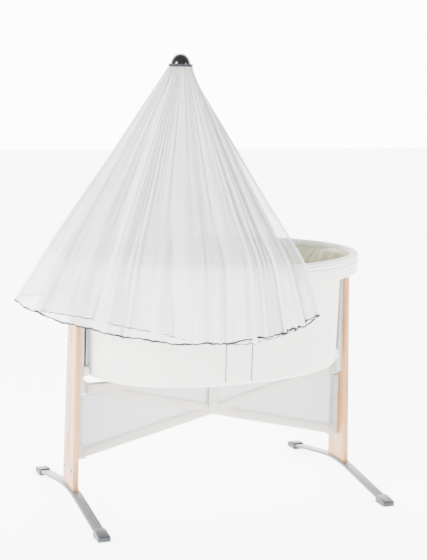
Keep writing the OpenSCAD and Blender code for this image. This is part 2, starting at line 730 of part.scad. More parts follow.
module canopy_dome() color([0.3, 0.3, 0.32]) translate([0, dome_y, dome_z])
  rotate_extrude() polygon(concat([[0, 0]],
    [for (q = [0:9:90]) [q == 90 ? 0 : dome_r * pow(cos(q), 0.8), dome_h * sin(q)]]));

module canopy_collar() color([0.28, 0.28, 0.32]) translate([0, dome_y, dome_z - 2.4])
  rotate_extrude() translate([ring_r + 2.6, 0]) circle(1.9);

// Catmull-Rom value of column k of the stations at u from 0 to the last station
function spline(p, u, k) = let (
  n = len(p) - 1,
  i = min(floor(u), n - 1),
  f = u - i,
  a = p[max(i - 1, 0)][k], b = p[i][k], c = p[i + 1][k], d = p[min(i + 2, n)][k])
  0.5 * (2 * b + (c - a) * f + (2 * a - 5 * b + 4 * c - d) * f * f
    + (3 * b - a - 3 * c + d) * f * f * f);

// cloth point at u along the stations and v from 0 at the collar to 1 at the hem
shoulder_v = 0.8;
function cloth_point(u, v) = let (
  q = spline(canopy_path, u, 0),
  top = [(ring_r + 3) * cos(q), dome_y + (ring_r + 3) * sin(q), dome_z - 8],
  mid = [for (k = [1:3]) spline(canopy_path, u, k)],
  low = [for (k = [4:6]) spline(canopy_path, u, k)])
  v <= shoulder_v ? top + (mid - top) * v / shoulder_v
    : mid + (low - mid) * (v - shoulder_v) / (1 - shoulder_v);

function cloth_normal(u, v) = let (
  n = cross(cloth_point(u + 0.01, v) - cloth_point(u - 0.01, v),
            cloth_point(u, min(v + 0.01, 1)) - cloth_point(u, max(v - 0.01, 0))))
  n / norm(n);

module canopy_cloth() color("white", 0.5) {
  nu = cloth_cols;
  nv = cloth_rows;
  last = len(canopy_path) - 1;
  outer = [for (i = [0:nu], j = [0:nv]) cloth_point(last * i / nu, j / nv)];
  inner = [for (i = [0:nu], j = [0:nv]) cloth_point(last * i / nu, j / nv)
    + cloth_t * cloth_normal(max(0.01, min(last - 0.01, last * i / nu)), j / nv)];
  m = len(outer);
  w = nv + 1;
  polyhedron(points = concat(outer, inner), faces = concat(
    [for (i = [0:nu - 1], j = [0:nv - 1], f = [0, 1]) f == 0
      ? [i * w + j, (i + 1) * w + j, (i + 1) * w + j + 1]
      : [i * w + j, (i + 1) * w + j + 1, i * w + j + 1]],
    [for (i = [0:nu - 1], j = [0:nv - 1], f = [0, 1]) f == 0
      ? [m + i * w + j, m + (i + 1) * w + j + 1, m + (i + 1) * w + j]
      : [m + i * w + j, m + i * w + j + 1, m + (i + 1) * w + j + 1]],
    [for (i = [0:nu - 1], j = [0, nv], f = [0, 1]) let (
      a = i * w + j, b = (i + 1) * w + j,
      t = f == 0 ? [a, m + a, m + b] : [a, m + b, b])
      j == 0 ? t : [t[2], t[1], t[0]]],
    [for (j = [0:nv - 1], i = [0, nu], f = [0, 1]) let (
      a = i * w + j, b = i * w + j + 1,
      t = f == 0 ? [a, b, m + b] : [a, m + b, m + a])
      i == 0 ? t : [t[2], t[1], t[0]]]));
}

// thin binding swept along the cloth's lower edge
module canopy_hem() color([0.3, 0.3, 0.35]) {
  n = 2 * cloth_cols;
  last = len(canopy_path) - 1;
  m = 6;
  polyhedron(
    points = [for (i = [0:n], k = [0:m - 1]) let (
      u = max(0.01, min(last - 0.01, last * i / n)),
      p = cloth_point(u, 1),
      t = cloth_point(min(u + 0.01, last), 1) - cloth_point(max(u - 0.01, 0), 1),
      s = cross(t, [0, 0, 1]) / norm(cross(t, [0, 0, 1])),
      a = 60 * k)
      p + [0, 0, -1.9] + 1.6 * (cos(a) * s + [0, 0, sin(a)])],
    faces = concat([[for (k = [0:m - 1]) k]], [[for (k = [m - 1:-1:0]) n * m + k]],
      [for (i = [0:n - 1], k = [0:m - 1], f = [0, 1]) let (l = (k + 1) % m)
        f == 0 ? [i * m + k, (i + 1) * m + l, i * m + l] : [i * m + k, (i + 1) * m + k, (i + 1) * m + l]]));
}

// ---- nodes ---------------------------------------------------------------

left() post();  // post_left
post();  // post_right
left() foot_bar();  // foot_bar_left
foot_bar();  // foot_bar_right
left() mirror([0, 1, 0]) foot_cap();  // foot_cap_front_left
mirror([0, 1, 0]) foot_cap();  // foot_cap_front_right
left() foot_cap();  // foot_cap_back_left
foot_cap();  // foot_cap_back_right
foot_bolts();
barrel_nuts();
brace_strut_front();
brace_strut_rear();
brace_rivet();
left() bracket(brace_high, -4);  // brace_bracket_upper_left
bracket(brace_high, 0.4);  // brace_bracket_upper_right
left() bracket(brace_low, 0.4);  // brace_bracket_lower_left
bracket(brace_low, -4);  // brace_bracket_lower_right
bracket_screws();
screw_caps();
stand_mesh();
panel_webbing();
left() housing();  // spring_housing_left
housing();  // spring_housing_right
housing_screws();
left() spring_seat();  // spring_seat_left
spring_seat();  // spring_seat_right
left() spring();  // spring_left
spring();  // spring_right
left() swing_stop();  // swing_stop_left
swing_stop();  // swing_stop_right
left() carriage();  // carriage_left
carriage();  // carriage_right
left() pivot_pin();  // pivot_pin_left
pivot_pin();  // pivot_pin_right
rim_hoop();
left() hanger();  // hanger_left
hanger();  // hanger_right
pivot_bushes();
hanger_rivets();
hanger_bolts();
hanger_spacers();
bottom_hoop();
base_board();
mattress();
mattress_sheet();
basket_wall();
basket_liner();
rim_roll();
rim_skirt();
front_strip();
clamp();  // mast_clamp
clamp_knob();
mast_lower();
mast_ferrule();
mast_upper();
canopy_ring();
canopy_dome();
canopy_collar();
canopy_cloth();
canopy_hem();
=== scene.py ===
import json
import math

import bmesh
import bpy
import numpy as np
from mathutils import Matrix, Vector

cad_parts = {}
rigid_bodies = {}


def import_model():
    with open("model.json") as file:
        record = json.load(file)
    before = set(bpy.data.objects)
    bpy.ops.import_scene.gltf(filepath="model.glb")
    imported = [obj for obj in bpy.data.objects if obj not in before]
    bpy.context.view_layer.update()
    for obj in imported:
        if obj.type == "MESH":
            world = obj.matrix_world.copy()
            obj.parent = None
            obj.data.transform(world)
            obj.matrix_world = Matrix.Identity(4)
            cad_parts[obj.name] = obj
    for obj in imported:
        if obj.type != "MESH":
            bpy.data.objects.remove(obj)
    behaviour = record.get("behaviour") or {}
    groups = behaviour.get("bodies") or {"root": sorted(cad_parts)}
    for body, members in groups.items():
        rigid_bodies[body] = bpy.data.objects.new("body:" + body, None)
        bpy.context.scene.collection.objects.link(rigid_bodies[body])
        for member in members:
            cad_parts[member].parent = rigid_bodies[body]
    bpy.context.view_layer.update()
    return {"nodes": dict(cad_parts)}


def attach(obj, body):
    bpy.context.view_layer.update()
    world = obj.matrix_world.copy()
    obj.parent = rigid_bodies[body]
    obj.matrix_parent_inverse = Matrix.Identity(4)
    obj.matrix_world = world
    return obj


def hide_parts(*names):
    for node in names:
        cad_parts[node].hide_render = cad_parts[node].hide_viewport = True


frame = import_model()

# A bassinet on a wooden stand. Metres, +X to the right post, +Y to the mast, +Z up.
turn = 2 * math.pi
nodes = frame["nodes"]
print("frame loaded:", len(nodes), "nodes")


# ---- shader values written as expressions ----

class Value:
    def __init__(self, tree, socket):
        self.tree, self.socket = tree, socket

    def node(self, kind, settings=None, inputs=None, out=0):
        made = self.tree.nodes.new(kind)
        for key, item in (settings or {}).items():
            if key == "stops":
                while len(made.color_ramp.elements) < len(item):
                    made.color_ramp.elements.new(0.5)
                for stop, (place, tone) in zip(made.color_ramp.elements, item):
                    stop.position, stop.color = place, (*tone, 1)
            else:
                setattr(made, key, item)
        for key, item in (inputs or {}).items():
            if isinstance(item, Value):
                self.tree.links.new(item.socket, made.inputs[key])
            else:
                made.inputs[key].default_value = item
        return Value(self.tree, made.outputs[out])

    def maths(self, operation, first, second=0.0):
        return self.node("ShaderNodeMath", {"operation": operation}, {0: first, 1: second})

    def __add__(self, other):
        return self.maths("ADD", self, other)

    __radd__ = __add__

    def __mul__(self, other):
        return self.maths("MULTIPLY", self, other)

    __rmul__ = __mul__

    def __sub__(self, other):
        return self.maths("SUBTRACT", self, other)

    def __rsub__(self, other):
        return self.maths("SUBTRACT", other, self)

    def __pow__(self, other):
        return self.maths("POWER", self, other)

    def __gt__(self, other):
        return self.maths("GREATER_THAN", self, other)

    def sin(self):
        return self.maths("SINE", self)

    def size(self):
        return self.maths("ABSOLUTE", self)

    def part(self, index):
        return self.node("ShaderNodeSeparateXYZ", inputs={0: self}, out=index)


class Finish:
    # one Principled material; coords is the object's own frame and cloth the piece's own UV map, in metres
    def __init__(self, name, colour, roughness=0.5, **fixed):
        self.material = bpy.data.materials.new(name)
        self.material.use_nodes = True
        self.tree = self.material.node_tree
        self.shader = next(n for n in self.tree.nodes if n.type == "BSDF_PRINCIPLED")
        self.root = Value(self.tree, None)
        self.coords = self.root.node("ShaderNodeTexCoord", out=3)
        self.cloth = self.root.node("ShaderNodeUVMap", {"uv_map": "cut"})
        self.colour = colour
        self.shader.inputs["Base Color"].default_value = (*colour, 1)
        self.shader.inputs["Roughness"].default_value = roughness
        for key, item in fixed.items():
            self.shader.inputs[key.replace("_", " ")].default_value = item

    def feed(self, socket, value):
        self.tree.links.new(value.socket, self.shader.inputs[socket])
        return self

    def noise(self, scale, stretch=(1, 1, 1), detail=3.0, where=None, rough=0.55):
        placed = self.root.node("ShaderNodeMapping", inputs={
            "Vector": where or self.coords, "Scale": stretch})
        return self.root.node("ShaderNodeTexNoise", inputs={
            "Vector": placed, "Scale": scale, "Detail": detail, "Roughness": rough})

    def blendTones(self, factor, first, second):
        def tone(item):
            return item if isinstance(item, Value) else (*item, 1)
        return self.root.node("ShaderNodeMix", {"data_type": "RGBA"}, {
            0: factor, 6: tone(first), 7: tone(second)}, 2)

    def spread(self, value, low, high, newLow=0.0, newHigh=1.0):
        return self.root.node("ShaderNodeMapRange", inputs={
            "Value": value, 1: low, 2: high, 3: newLow, 4: newHigh})

    def bump(self, height, distance, strength=1.0):
        return self.feed("Normal", self.root.node("ShaderNodeBump", inputs={
            "Height": height, "Distance": distance, "Strength": strength}))


def darker(tone, share):
    return tuple(c * share for c in tone)


# beech: rings drawn out along the board, fine pores, and a slow change of tone
wood = {"tone": (0.47, 0.235, 0.082), "dark": (0.30, 0.120, 0.034), "ring": 11.0, "roughness": 0.45}


def makeWood():
    made = Finish("beech", wood["tone"], wood["roughness"], Coat_Weight=0.25, Coat_Roughness=0.3)
    slow = made.noise(5.0, (3, 3, 0.5), 2)
    grain = made.noise(wood["ring"], (14, 14, 0.55), 6, rough=0.62)
    pores = made.noise(160.0, (5, 5, 0.22), 2)
    streak = made.spread(grain, 0.36, 0.66)
    tone = made.blendTones(streak, wood["tone"], wood["dark"])
    tone = made.blendTones(made.spread(slow, 0.35, 0.7) * 0.35, tone, (0.54, 0.30, 0.125))
    tone = made.blendTones(made.spread(pores, 0.58, 0.74) * 0.35, tone, (0.30, 0.12, 0.04))
    made.feed("Base Color", tone)
    made.feed("Roughness", made.spread(pores, 0.3, 0.7, 0.36, 0.55))
    return made.bump(pores * 0.5 + grain * 0.5, 0.0003, 0.5)


# smooth or moulded parts: a faint orange peel, a slow roughness change and a slow change of tone
def makeMoulded(name, tone, roughness=0.45, grain=900.0, depth=0.00006, **fixed):
    made = Finish(name, tone, roughness, **fixed)
    peel = made.noise(grain, detail=2)
    slow = made.noise(18.0, detail=3)
    made.feed("Base Color", made.blendTones(made.spread(slow, 0.35, 0.75) * 0.5, tone, darker(tone, 0.86)))
    made.feed("Roughness", made.spread(slow, 0.3, 0.7, roughness * 0.85, min(1.0, roughness * 1.2)))
    return made.bump(peel, depth, 0.6)


# drawn or brushed metal: fine scratches along one axis
def makeMetal(name, tone, roughness=0.35, along=(1, 60, 60), metallic=1.0, **fixed):
    made = Finish(name, tone, roughness, Metallic=metallic, **fixed)
    scratch = made.noise(14.0, along, 4)
    slow = made.noise(9.0, detail=2)
    made.feed("Base Color", made.blendTones(made.spread(slow, 0.35, 0.7) * 0.4, tone, darker(tone, 0.82)))
    made.feed("Roughness", made.spread(scratch, 0.3, 0.7, roughness * 0.8, roughness * 1.25))
    return made.bump(scratch, 0.00005, 0.5)


# plain weave on the piece's own UV map: crossing threads, slubs and a cloudy tone
def makeWeave(name, tone, thread=0.0011, depth=0.00016, roughness=0.85, shade=0.93, **fixed):
    made = Finish(name, tone, roughness, **fixed)
    across, down = made.cloth.part(0), made.cloth.part(1)
    warp = (across * (turn / thread)).sin()
    weft = (down * (turn / thread)).sin()
    slub = made.noise(30.0, (1, 8, 1), 3, where=made.cloth)
    cloud = made.noise(7.0, detail=3)
    patch = made.spread(cloud, 0.35, 0.72) * 0.5 + made.spread(slub, 0.55, 0.75) * 0.3
    made.feed("Base Color", made.blendTones(patch, tone, darker(tone, shade)))
    made.feed("Roughness", made.spread(slub, 0.3, 0.7, roughness - 0.05, min(1.0, roughness + 0.08)))
    return made.bump(warp * weft * 0.5 + slub, depth, 0.7)


# knitted mesh: rows of round holes on the UV map, seen as a fine change of tone and of alpha
def makeMesh(name, tone, pitch=0.0026, cover=0.93):
    made = Finish(name, tone, 0.7)
    across, down = made.cloth.part(0), made.cloth.part(1)
    hole = (across * (turn / pitch)).sin() * (down * (turn / pitch * 0.6)).sin()
    cloud = made.noise(6.0, detail=2)
    made.feed("Base Color", made.blendTones(made.spread(cloud, 0.3, 0.75) * 0.5, tone, darker(tone, 0.94)))
    made.feed("Alpha", cover - made.spread(hole, 0.35, 1.0) * 0.12)
    return made.bump(hole, 0.0002, 0.6)


# sheer tulle: cover is how much light each fold stops; the base colour is painted darker towards grey deep in
# the folds and on their steep sides, as painted shade
tulle = {"tone": (0.88, 0.88, 0.86), "net": 0.0021, "netShare": 0.05}


def makeTulle():
    made = Finish("tulle", tulle["tone"], 0.75, Sheen_Weight=0.15, Sheen_Roughness=0.5)
    dense = made.root.node("ShaderNodeAttribute", {"attribute_name": "cover"}, out=2)
    across, down = made.cloth.part(0), made.cloth.part(1)
    net = (across * (turn / tulle["net"])).sin() * (down * (turn / tulle["net"])).sin()
    streak = made.noise(26.0, (3.2, 0.12, 1), 4, where=made.cloth)
    made.feed("Alpha", dense + made.spread(streak, 0.35, 0.7, -0.09, 0.09) + net * tulle["netShare"])
    # painted shade: a mark per point that darkens the tulle's colour deep in its folds
    crease = made.root.node("ShaderNodeAttribute", {"attribute_name": "crease"}, out=2)
    soft = made.blendTones(made.spread(streak, 0.4, 0.7), tulle["tone"], (0.78, 0.79, 0.775))
    made.feed("Base Color", made.blendTones(crease, soft, (0.46, 0.475, 0.475)))
    return made.bump(net, 0.0001, 0.3)


def makeFinishes():
    white = (0.72, 0.72, 0.685)
    return {
        "wood": makeWood(),
        "bar": makeMetal("footBarSteel", (0.125, 0.125, 0.13), 0.45, (60, 2, 60), 0.3),
        "shoe": makeMoulded("shoePlastic", (0.022, 0.025, 0.034), 0.5),
        "steel": makeMetal("zincSteel", (0.20, 0.20, 0.21), 0.35, (40, 40, 40)),
        "cap": makeMoulded("capPlastic", (0.50, 0.30, 0.15), 0.5),
        "strut": makeMetal("strutSteel", (0.25, 0.25, 0.26), 0.4, (1, 50, 50), 0.8),
        "bracket": makeMoulded("bracketPlastic", (0.50, 0.50, 0.50), 0.5),
        "housing": makeMoulded("housingPlastic", (0.44, 0.44, 0.44), 0.5),
        "slider": makeMoulded("sliderPlastic", (0.06, 0.06, 0.07), 0.45),
        "rubber": makeMoulded("stopRubber", (0.60, 0.59, 0.56), 0.7),
        "hanger": makeMoulded("hangerCoat", (0.020, 0.0125, 0.008), 0.5, 1400.0, 0.00008),
        "bush": makeMoulded("bushPlastic", (0.5, 0.47, 0.38), 0.4),
        "hoop": makeMetal("hoopTube", (0.40, 0.40, 0.42), 0.35, (40, 40, 40)),
        "board": makeMoulded("boardFibre", (0.22, 0.15, 0.09), 0.8, 300.0, 0.0002),
        "clamp": makeMoulded("clampPlastic", (0.07, 0.07, 0.085), 0.45),
        "mast": makeMetal("mastTube", (0.36, 0.36, 0.37), 0.35, (60, 60, 1), 0.8),
        "dome": makeMetal("domePolish", (0.02, 0.02, 0.022), 0.22, (4, 4, 4), 0.85,
                          Coat_Weight=0.5, Coat_Roughness=0.1),
        "canvas": makeWeave("basketCloth", white),
        "roll": makeWeave("rollCloth", (0.77, 0.77, 0.75)),
        "liner": makeWeave("linerCloth", (0.50, 0.49, 0.33), shade=0.88),
        "sheet": makeWeave("sheetCloth", (0.82, 0.82, 0.80), 0.0009, 0.0001),
        "ticking": makeWeave("mattressTicking", (0.76, 0.76, 0.74), 0.0016, 0.0002),
        "webbing": makeWeave("webbingCloth", (0.46, 0.44, 0.385), 0.0016, 0.00025, shade=0.88),
        "piping": makeWeave("pipingCord", (0.085, 0.085, 0.10), 0.0010, 0.0002),
        "binding": makeWeave("darkBinding", (0.022, 0.022, 0.03), 0.0010, 0.0002, shade=0.75),
        "mesh": makeMesh("kneeMesh", (0.36, 0.355, 0.39)),
        "tulle": makeTulle(),
    }


finishes = makeFinishes()
print("materials made:", len(finishes))


# ---- surfaces on grids ----

# points is (rows, columns, 3); quads join neighbours, and round the rows where they close
def gridPiece(name, points, finish, body, replaced=(), closeRows=False, closeCols=False,
              cut=None, marks=None):
    rows, cols = points.shape[:2]
    index = np.arange(rows * cols).reshape(rows, cols)
    if closeRows:
        index = np.vstack([index, index[:1]])
    if closeCols:
        index = np.hstack([index, index[:, :1]])
    quads = np.stack([index[:-1, :-1], index[1:, :-1], index[1:, 1:], index[:-1, 1:]], -1).reshape(-1, 4)
    data = bpy.data.meshes.new(name)
    data.from_pydata(points.reshape(-1, 3).tolist(), [], quads.tolist())
    if cut is None:
        cut = cutLengths(points)
    wide = np.stack(np.broadcast_arrays(*cut), -1)
    if closeRows:
        wide = np.vstack([wide, wide[-1:] + (wide[-1:] - wide[-2:-1])])
    if closeCols:
        wide = np.hstack([wide, wide[:, -1:] + (wide[:, -1:] - wide[:, -2:-1])])
    corners = np.stack([wide[:-1, :-1], wide[1:, :-1], wide[1:, 1:], wide[:-1, 1:]], 2).reshape(-1, 2)
    layer = data.uv_layers.new(name="cut")
    layer.data.foreach_set("uv", corners.astype(np.float32).ravel())
    for key, values in (marks or {}).items():
        mark = data.attributes.new(key, "FLOAT", "POINT")
        mark.data.foreach_set("value", values.astype(np.float32).ravel())
    data.polygons.foreach_set("use_smooth", np.ones(len(quads), bool))
    data.update()
    piece = bpy.data.objects.new(name, data)
    bpy.context.scene.collection.objects.link(piece)
    return dress(piece, finish, body, replaced)


# how far each grid point is along its row and column, in metres, at the widest column
def cutLengths(points):
    along = np.linalg.norm(np.diff(points, axis=0), axis=2).max(1)
    down = np.linalg.norm(np.diff(points, axis=1), axis=2).mean(0)
    return (np.concatenate([[0], np.cumsum(along)])[:, None] * np.ones(points.shape[1]),
            np.concatenate([[0], np.cumsum(down)])[None, :] * np.ones((points.shape[0], 1)))


def dress(piece, finish, body, replaced=()):
    piece.data.materials.clear()
    piece.data.materials.append(finishes[finish].material)
    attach(piece, body)
    if replaced:
        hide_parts(*replaced)
    return piece


def applyAll(piece):
    bpy.context.view_layer.update()
    graph = bpy.context.evaluated_depsgraph_get()
    data = bpy.data.meshes.new_from_object(piece.evaluated_get(graph), depsgraph=graph)
    piece.modifiers.clear()
    piece.data = data
    return piece


def thicken(piece, depth, offset=-1.0):
    made = piece.modifiers.new("thick", "SOLIDIFY")
    made.thickness, made.offset, made.use_even_offset = depth, offset, True
    return piece


# merges doubled points, as at a pole, and turns the faces outwards
def tidyMesh(piece, distance=1e-6):
    work = bmesh.new()
    work.from_mesh(piece.data)
    bmesh.ops.remove_doubles(work, verts=work.verts, dist=distance)
    bmesh.ops.dissolve_degenerate(work, edges=work.edges, dist=1e-7)
    bmesh.ops.recalc_face_normals(work, faces=work.faces)
    work.to_mesh(piece.data)
    work.free()
    return piece


def smoothStep(x, low, high):
    t = np.clip((x - low) / (high - low), 0, 1)
    return t * t * (3 - 2 * t)


# Catmull-Rom curve through the rows of a list, at t from 0 to the last row
def throughRows(rows, t):
    n = len(rows) - 1
    i = np.minimum(t.astype(int), n - 1)
    f = (t - i)[:, None]
    a, b, c, d = (rows[np.clip(i + k, 0, n)] for k in (-1, 0, 1, 2))
    return 0.5 * (2 * b + (c - a) * f + (2 * a - 5 * b + 4 * c - d) * f**2 + (3 * b - a - 3 * c + d) * f**3)


# ellipse of half lengths a and b, grown outwards by offset along its own normal
def ovalPoint(a, b, angle, offset):
    nx, ny = np.cos(angle) / a, np.sin(angle) / b
    length = np.hypot(nx, ny)
    return a * np.cos(angle) + offset * nx / length, b * np.sin(angle) + offset * ny / length


# a sum of cosines with whole wave counts, so that it closes round the oval
def waves(angle, parts, seed):
    draw = np.random.default_rng(seed)
    total = np.zeros_like(angle)
    for count, height in parts:
        total = total + height * np.cos(count * angle + draw.uniform(0, turn))
    return total


# ---- stand: the CAD shapes with their edges rounded ----

# a merged copy of a CAD node with its flat faces rejoined and its edges bevelled
def softEdges(node, finish, width=0.0012, segments=3, angle=35):
    piece = nodes[node].copy()
    piece.data = nodes[node].data.copy()
    piece.name = node + "_soft"
    for key in list(piece.keys()):
        del piece[key]
    piece.parent = None
    piece.matrix_world = Matrix.Identity(4)
    bpy.context.scene.collection.objects.link(piece)
    work = bmesh.new()
    work.from_mesh(piece.data)
    bmesh.ops.remove_doubles(work, verts=work.verts, dist=1e-6)
    bmesh.ops.dissolve_limit(work, angle_limit=math.radians(0.6), verts=work.verts, edges=work.edges)
    work.to_mesh(piece.data)
    work.free()
    bevel = piece.modifiers.new("edge", "BEVEL")
    bevel.width, bevel.segments, bevel.limit_method = width, segments, "ANGLE"
    bevel.angle_limit, bevel.harden_normals, bevel.use_clamp_overlap = math.radians(angle), True, True
    body = nodes[node].parent.name.split(":", 1)[1]
    dress(piece, finish, body, (node,))
    applyAll(piece)
    piece.data.shade_smooth()
    piece.data.set_sharp_from_angle(angle=math.radians(angle))
    return piece


softNodes = [  # node, finish, slot, width of the rounded edge
    ("post", "wood", "beech_wood", 0.0022, ("_left", "_right")),
    ("foot_bar", "bar", "steel_bar", 0.0012, ("_left", "_right")),
    ("foot_cap", "shoe", "shoe_plastic", 0.0014,
     ("_front_left", "_front_right", "_back_left", "_back_right")),
    ("brace_bracket", "bracket", "bracket_plastic", 0.0010,
     ("_upper_left", "_upper_right", "_lower_left", "_lower_right")),
    ("spring_housing", "housing", "housing_plastic", 0.0007, ("_left", "_right")),
    ("swing_stop", "rubber", "stop_rubber", 0.0010, ("_left", "_right")),
    ("hanger", "hanger", "hanger_steel", 0.0006, ("_left", "_right")),
    ("screw_caps", "cap", "cap_plastic", 0.0005, ("",)),
    ("mast_clamp", "clamp", "clamp_plastic", 0.0018, ("",)),
    ("clamp_knob", "clamp", "clamp_plastic", 0.0010, ("",)),
    ("mast_ferrule", "clamp", "clamp_plastic", 0.0010, ("",)),
]
for stem, finish, slot, width, ends in softNodes:
    for end in ends:
        softEdges(stem + end, finish, width)

plainNodes = {
    "steel": ("foot_bolts", "barrel_nuts", "brace_rivet", "bracket_screws", "housing_screws",
              "pivot_pin_left",
              "pivot_pin_right", "hanger_rivets", "hanger_bolts", "spring_left", "spring_right"),
    "strut": ("brace_strut_front", "brace_strut_rear"),
    "slider": ("spring_seat_left", "spring_seat_right", "carriage_left", "carriage_right"),
    "bush": ("pivot_bushes", "hanger_spacers"),
    "hoop": ("rim_hoop", "bottom_hoop"),
    "board": ("base_board",),
    "mast": ("mast_lower", "mast_upper"),
    "clamp": ("canopy_ring",),
}
for finish, names in plainNodes.items():
    for name in names:
        nodes[name].data.materials.clear()
        nodes[name].data.materials.append(finishes[finish].material)
print("stand dressed")


# ---- brace sleeves and mesh panel ----

brace = {"high": 0.308, "low": 0.136, "reach": 0.358, "width": 0.029, "front": -0.0116, "back": 0.0102,
         "puckers": 0.0009, "panelHalf": 0.3775, "top": 0.3165}
braceMid = (brace["high"] + brace["low"]) / 2
braceSlope = (brace["high"] - brace["low"]) / (2 * brace["reach"])


# a flattened tube round one brace bar: superellipse section carried along the bar, closed at its ends
def braceSleeve(name, side, replaced=()):
    along, round_ = 220, 40
    s = np.linspace(-1, 1, along)
    q = np.arange(round_) * turn / round_
    x = s * brace["panelHalf"]
    tilt = math.atan(braceSlope)
    draw = np.random.default_rng(7 + side)
    ruck = sum(np.cos(x * k + draw.uniform(0, turn)) * h for k, h in ((61, 0.5), (133, 0.35), (290, 0.2)))
    across = np.sign(np.cos(q)) * np.abs(np.cos(q)) ** 0.55 * brace["width"] / 2
    through = np.sign(np.sin(q)) * np.abs(np.sin(q)) ** 0.8
    depth = (brace["back"] - brace["front"]) / 2
    middle = (brace["back"] + brace["front"]) / 2
    swell = 1 + ruck[:, None] * 0.03
    a = across[None, :] * swell + ruck[:, None] * 0.0005
    y = middle + through[None, :] * depth * (0.94 + 0.05 * np.cos(x * 47 + side)[:, None])
    pucker = brace["puckers"] * np.cos(x * 210 + side)
    y = y + pucker[:, None] * np.abs(np.cos(q))[None, :] ** 3 * np.sign(np.sin(q))
    points = np.stack([x[:, None] - a * math.sin(tilt) * side, y,
                       braceMid + side * braceSlope * x[:, None] + a * math.cos(tilt)], -1)
    piece = gridPiece(name, points, "webbing", "stand", replaced, closeCols=True)
    work = bmesh.new()
    work.from_mesh(piece.data)
    bmesh.ops.holes_fill(work, edges=work.edges)
    bmesh.ops.recalc_face_normals(work, faces=work.faces)
    work.to_mesh(piece.data)
    work.free()
    return piece


# a flat strip of webbing between two lists of corners, with slight puckers
def flatBand(name, lowRow, highRow, y, thick, seed):
    steps = np.linspace(0, 1, 90)[:, None, None]
    share = np.linspace(0, 1, 9)[None, :, None]
    lowRow, highRow = np.array(lowRow), np.array(highRow)
    flat = (lowRow[0] * (1 - steps) + lowRow[1] * steps) * (1 - share) + (
        highRow[0] * (1 - steps) + highRow[1] * steps) * share
    draw = np.random.default_rng(seed)
    ripple = sum(np.cos(steps[..., 0] * k + draw.uniform(0, turn)) * 0.0004 for k in (19, 41, 83))
    depth = y + ripple * np.ones_like(share[..., 0])
    points = np.stack([flat[..., 0], depth, flat[..., 1]], -1)
    return thicken(gridPiece(name, points, "webbing", "stand"), thick, 0)


def standPanel():
    braceSleeve("braceSleeveRising", 1, ("panel_webbing",))
    braceSleeve("braceSleeveFalling", -1)
    half, top = brace["panelHalf"], brace["top"]
    corner = 0.350
    for side, y in (("Front", brace["front"] - 0.0004), ("Back", brace["back"] + 0.0002)):
        flatBand("centreStrip" + side, [(-0.012, braceMid), (-0.012, top)], [(0.012, braceMid), (0.012, top)],
                 y, 0.0012, 31)
        flatBand("topHem" + side, [(-corner, top - 0.022), (corner, top - 0.022)],
                 [(-corner, top - 0.0005), (corner, top - 0.0005)], y + 0.0006, 0.0012, 32)
        for s in (-1, 1):
            low = braceMid - braceSlope * half + 0.004
            flatBand("sideHem" + side + ("Left" if s < 0 else "Right"),
                     [(s * (half - 0.015), low), (s * (half - 0.017), 0.290)],
                     [(s * half, low), (s * (half - 0.002), 0.290)], y + 0.0003, 0.0012, 33 + s)
    # mesh panel: a sheet between the lower edge of the sleeves and the top hem, sagging slightly
    x = np.concatenate([np.linspace(-half + 0.001, -corner - 0.001, 8), np.linspace(-corner, corner, 150),
                        np.linspace(corner + 0.001, half - 0.001, 8)])
    t = np.linspace(0, 1, 50)
    low = braceMid - braceSlope * np.abs(x) - brace["width"] * 0.40
    high = np.where(np.abs(x) > corner, 0.291, top - 0.001)
    z = low[:, None] * (1 - t) + high[:, None] * t
    belly = 0.0022 * np.sin(math.pi * t)[None, :] * np.cos(x[:, None] * 4) + 0.0009 * np.sin(
        x[:, None] * 33 + z * 60) * np.sin(math.pi * t)[None, :]
    points = np.stack([x[:, None] * np.ones_like(z), -0.0093 + belly, z], -1)
    panel = gridPiece("meshPanel", points, "mesh", "stand", ("stand_mesh",),
                      cut=(x[:, None] * np.ones_like(z), z))


standPanel()
print("brace panel made")


# ---- basket ----

basket = {"a": 0.3490, "b": 0.2520, "top": 0.605, "skirt": 0.596, "floor": 0.350, "taper": 0.005,
          "corner": 0.008,
          "cloth": 0.0018, "rimA": 0.386, "rimB": 0.273, "rimZ": 0.6365, "roll": 0.0115}


# how far the bag's underside hangs below its board: most at the left end
def sag(x):
    return 0.011 * smoothStep(-x, -0.10, 0.34)


